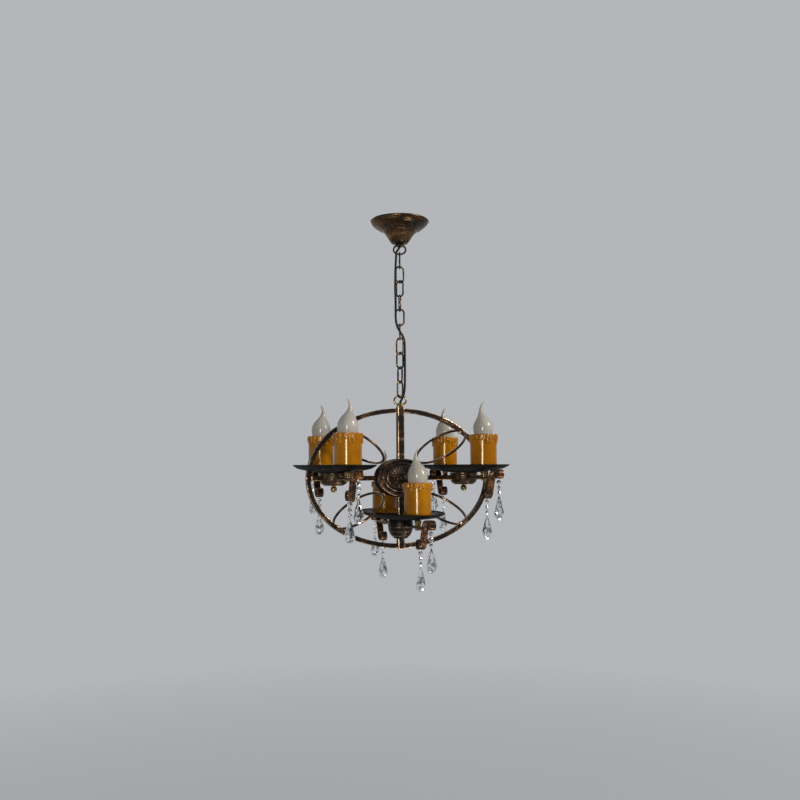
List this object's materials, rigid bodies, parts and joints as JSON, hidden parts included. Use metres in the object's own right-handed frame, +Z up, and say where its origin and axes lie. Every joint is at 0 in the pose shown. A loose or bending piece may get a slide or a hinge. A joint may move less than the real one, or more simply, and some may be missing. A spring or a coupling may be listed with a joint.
{
  "type": "chandelier",
  "caption": "Chandelier on a chain: an oval ring frame with a hub, oval trays of candle-style lights, and crystal pendants on scrolled brackets.",
  "frame": {"origin": "centre of the ceiling plane that the mounting strap and the canopy stand against", "axes": "+Z up; the big ring lies in the XZ plane; each tray holds a front light at -Y and a rear light at +Y"},
  "size_m": [0.3834, 0.3096, 0.6646],
  "materials": {
    "antique_bronze": "antique bronze paint rubbed to copper and gold on edges",
    "black_tray": "satin black with a faint brown bloom",
    "rubbed_brass": "aged, rubbed bright on high spots",
    "zinc_steel": "zinc plated",
    "cable": "smooth matt black sheath",
    "amber_wax": "glossy amber, wax-like",
    "holder": "matt ceramic-coloured moulding",
    "frosted_glass": "frosted, milky",
    "crystal": "clear, cut and polished"
  },
  "bodies": {
    "root": {"mounting_strap": "zinc_steel", "canopy": "antique_bronze", "canopy_nipple": "zinc_steel", "nipple_nut": "zinc_steel", "canopy_loop": "antique_bronze", "lamp_cable": "cable"},
    "chain_link_1": {"chain_link_1": "antique_bronze"},
    "chain_link_2": {"chain_link_2": "antique_bronze"},
    "chain_link_3": {"chain_link_3": "antique_bronze"},
    "chain_link_4": {"chain_link_4": "antique_bronze"},
    "chain_link_5": {"chain_link_5": "antique_bronze"},
    "chain_link_6": {"chain_link_6": "antique_bronze"},
    "chain_link_7": {"chain_link_7": "antique_bronze"},
    "chain_link_8": {"chain_link_8": "antique_bronze"},
    "chain_link_9": {"chain_link_9": "antique_bronze"},
    "chain_link_10": {"chain_link_10": "antique_bronze"},
    "frame": {"stem_loop": "rubbed_brass", "outer_ring": "antique_bronze", "post": "antique_bronze", "cross_tube": "antique_bronze", "hub_front": "antique_bronze", "hub_rear": "antique_bronze", "tray_left": "black_tray", "tray_right": "black_tray", "tray_lower": "black_tray", "carrier_left": "antique_bronze", "carrier_right": "antique_bronze", "carrier_lower": "antique_bronze", "finial_left": "rubbed_brass", "finial_right": "rubbed_brass", "lampholder_left_front": "holder", "lampholder_left_rear": "holder", "lampholder_right_front": "holder", "lampholder_right_rear": "holder", "lampholder_lower_front": "holder", "lampholder_lower_rear": "holder"},
    "pendant_left_front_head": {"pendant_left_front_head": "crystal"},
    "pendant_left_front_foot": {"pendant_left_front_foot": "crystal"},
    "pendant_left_rear_head": {"pendant_left_rear_head": "crystal"},
    "pendant_left_rear_foot": {"pendant_left_rear_foot": "crystal"},
    "pendant_right_front_head": {"pendant_right_front_head": "crystal"},
    "pendant_right_front_foot": {"pendant_right_front_foot": "crystal"},
    "pendant_right_rear_head": {"pendant_right_rear_head": "crystal"},
    "pendant_right_rear_foot": {"pendant_right_rear_foot": "crystal"},
    "pendant_lower_front_head": {"pendant_lower_front_head": "crystal"},
    "pendant_lower_front_foot": {"pendant_lower_front_foot": "crystal"},
    "pendant_lower_rear_head": {"pendant_lower_rear_head": "crystal"},
    "pendant_lower_rear_foot": {"pendant_lower_rear_foot": "crystal"},
    "candle_sleeve_left_front": {"candle_sleeve_left_front": "amber_wax"},
    "bulb_left_front": {"bulb_left_front": "frosted_glass"},
    "candle_sleeve_left_rear": {"candle_sleeve_left_rear": "amber_wax"},
    "bulb_left_rear": {"bulb_left_rear": "frosted_glass"},
    "candle_sleeve_right_front": {"candle_sleeve_right_front": "amber_wax"},
    "bulb_right_front": {"bulb_right_front": "frosted_glass"},
    "candle_sleeve_right_rear": {"candle_sleeve_right_rear": "amber_wax"},
    "bulb_right_rear": {"bulb_right_rear": "frosted_glass"},
    "candle_sleeve_lower_front": {"candle_sleeve_lower_front": "amber_wax"},
    "bulb_lower_front": {"bulb_lower_front": "frosted_glass"},
    "candle_sleeve_lower_rear": {"candle_sleeve_lower_rear": "amber_wax"},
    "bulb_lower_rear": {"bulb_lower_rear": "frosted_glass"}
  },
  "joints": [
    {"name": "link_1_swing", "type": "hinge", "parent": "root", "child": "chain_link_1", "pos_m": [0, 0, -0.06303], "axis": [0.9397, -0.342, 0], "range_deg": [-8, 8], "deforming": ["lamp_cable"]},
    {"name": "link_2_swing", "type": "hinge", "parent": "chain_link_1", "child": "chain_link_2", "pos_m": [0, 0, -0.08943], "axis": [-0.342, -0.9397, 0], "range_deg": [-8, 8]},
    {"name": "link_3_swing", "type": "hinge", "parent": "chain_link_2", "child": "chain_link_3", "pos_m": [0, 0, -0.11593], "axis": [-0.9962, -0.0872, 0], "range_deg": [-8, 8]},
    {"name": "link_4_swing", "type": "hinge", "parent": "chain_link_3", "child": "chain_link_4", "pos_m": [0, 0, -0.14243], "axis": [-0.5299, 0.848, 0], "range_deg": [-8, 8]},
    {"name": "link_5_swing", "type": "hinge", "parent": "chain_link_4", "child": "chain_link_5", "pos_m": [0, 0, -0.16893], "axis": [0.4695, 0.8829, 0], "range_deg": [-8, 8]},
    {"name": "link_6_swing", "type": "hinge", "parent": "chain_link_5", "child": "chain_link_6", "pos_m": [0, 0, -0.19543], "axis": [0.9397, -0.342, 0], "range_deg": [-8, 8]},
    {"name": "link_7_swing", "type": "hinge", "parent": "chain_link_6", "child": "chain_link_7", "pos_m": [0, 0, -0.22193], "axis": [-0.342, -0.9397, 0], "range_deg": [-8, 8]},
    {"name": "link_8_swing", "type": "hinge", "parent": "chain_link_7", "child": "chain_link_8", "pos_m": [0, 0, -0.24843], "axis": [-0.5592, 0.829, 0], "range_deg": [-8, 8]},
    {"name": "link_9_swing", "type": "hinge", "parent": "chain_link_8", "child": "chain_link_9", "pos_m": [0, 0, -0.27493], "axis": [0.9272, 0.3746, 0], "range_deg": [-8, 8]},
    {"name": "link_10_swing", "type": "hinge", "parent": "chain_link_9", "child": "chain_link_10", "pos_m": [0, 0, -0.30143], "axis": [0.1736, -0.9848, 0], "range_deg": [-8, 8]},
    {"name": "frame_swing", "type": "hinge", "parent": "chain_link_10", "child": "frame", "pos_m": [0, 0, -0.32793], "axis": [-0.848, -0.5299, 0], "range_deg": [-8, 8]},
    {"name": "pendant_left_front_head_swing", "type": "hinge", "parent": "frame", "child": "pendant_left_front_head", "pos_m": [-0.125, -0.14678, -0.46991], "axis": [1, 0, 0], "range_deg": [-15, 15]},
    {"name": "pendant_left_front_foot_swing", "type": "hinge", "parent": "frame", "child": "pendant_left_front_foot", "pos_m": [-0.125, -0.09872, -0.50556], "axis": [1, 0, 0], "range_deg": [-15, 15]},
    {"name": "pendant_left_rear_head_swing", "type": "hinge", "parent": "frame", "child": "pendant_left_rear_head", "pos_m": [-0.125, 0.14678, -0.46991], "axis": [1, 0, 0], "range_deg": [-15, 15]},
    {"name": "pendant_left_rear_foot_swing", "type": "hinge", "parent": "frame", "child": "pendant_left_rear_foot", "pos_m": [-0.125, 0.09872, -0.50556], "axis": [1, 0, 0], "range_deg": [-15, 15]},
    {"name": "pendant_right_front_head_swing", "type": "hinge", "parent": "frame", "child": "pendant_right_front_head", "pos_m": [0.125, -0.14678, -0.46991], "axis": [1, 0, 0], "range_deg": [-15, 15]},
    {"name": "pendant_right_front_foot_swing", "type": "hinge", "parent": "frame", "child": "pendant_right_front_foot", "pos_m": [0.125, -0.09872, -0.50556], "axis": [1, 0, 0], "range_deg": [-15, 15]},
    {"name": "pendant_right_rear_head_swing", "type": "hinge", "parent": "frame", "child": "pendant_right_rear_head", "pos_m": [0.125, 0.14678, -0.46991], "axis": [1, 0, 0], "range_deg": [-15, 15]},
    {"name": "pendant_right_rear_foot_swing", "type": "hinge", "parent": "frame", "child": "pendant_right_rear_foot", "pos_m": [0.125, 0.09872, -0.50556], "axis": [1, 0, 0], "range_deg": [-15, 15]},
    {"name": "pendant_lower_front_head_swing", "type": "hinge", "parent": "frame", "child": "pendant_lower_front_head", "pos_m": [0, -0.14678, -0.55391], "axis": [1, 0, 0], "range_deg": [-15, 15]},
    {"name": "pendant_lower_front_foot_swing", "type": "hinge", "parent": "frame", "child": "pendant_lower_front_foot", "pos_m": [0, -0.09872, -0.58956], "axis": [1, 0, 0], "range_deg": [-15, 15]},
    {"name": "pendant_lower_rear_head_swing", "type": "hinge", "parent": "frame", "child": "pendant_lower_rear_head", "pos_m": [0, 0.14678, -0.55391], "axis": [1, 0, 0], "range_deg": [-15, 15]},
    {"name": "pendant_lower_rear_foot_swing", "type": "hinge", "parent": "frame", "child": "pendant_lower_rear_foot", "pos_m": [0, 0.09872, -0.58956], "axis": [1, 0, 0], "range_deg": [-15, 15]},
    {"name": "candle_sleeve_left_front_lift", "type": "slide", "parent": "frame", "child": "candle_sleeve_left_front", "axis": [0, 0, 1], "range_m": [0, 0.075]},
    {"name": "bulb_left_front_pull", "type": "slide", "parent": "frame", "child": "bulb_left_front", "axis": [0, 0, 1], "range_m": [0, 0.09]},
    {"name": "candle_sleeve_left_rear_lift", "type": "slide", "parent": "frame", "child": "candle_sleeve_left_rear", "axis": [0, 0, 1], "range_m": [0, 0.075]},
    {"name": "bulb_left_rear_pull", "type": "slide", "parent": "frame", "child": "bulb_left_rear", "axis": [0, 0, 1], "range_m": [0, 0.09]},
    {"name": "candle_sleeve_right_front_lift", "type": "slide", "parent": "frame", "child": "candle_sleeve_right_front", "axis": [0, 0, 1], "range_m": [0, 0.075]},
    {"name": "bulb_right_front_pull", "type": "slide", "parent": "frame", "child": "bulb_right_front", "axis": [0, 0, 1], "range_m": [0, 0.09]},
    {"name": "candle_sleeve_right_rear_lift", "type": "slide", "parent": "frame", "child": "candle_sleeve_right_rear", "axis": [0, 0, 1], "range_m": [0, 0.075]},
    {"name": "bulb_right_rear_pull", "type": "slide", "parent": "frame", "child": "bulb_right_rear", "axis": [0, 0, 1], "range_m": [0, 0.09]},
    {"name": "candle_sleeve_lower_front_lift", "type": "slide", "parent": "frame", "child": "candle_sleeve_lower_front", "axis": [0, 0, 1], "range_m": [0, 0.075]},
    {"name": "bulb_lower_front_pull", "type": "slide", "parent": "frame", "child": "bulb_lower_front", "axis": [0, 0, 1], "range_m": [0, 0.09]},
    {"name": "candle_sleeve_lower_rear_lift", "type": "slide", "parent": "frame", "child": "candle_sleeve_lower_rear", "axis": [0, 0, 1], "range_m": [0, 0.075]},
    {"name": "bulb_lower_rear_pull", "type": "slide", "parent": "frame", "child": "bulb_lower_rear", "axis": [0, 0, 1], "range_m": [0, 0.09]}
  ]
}
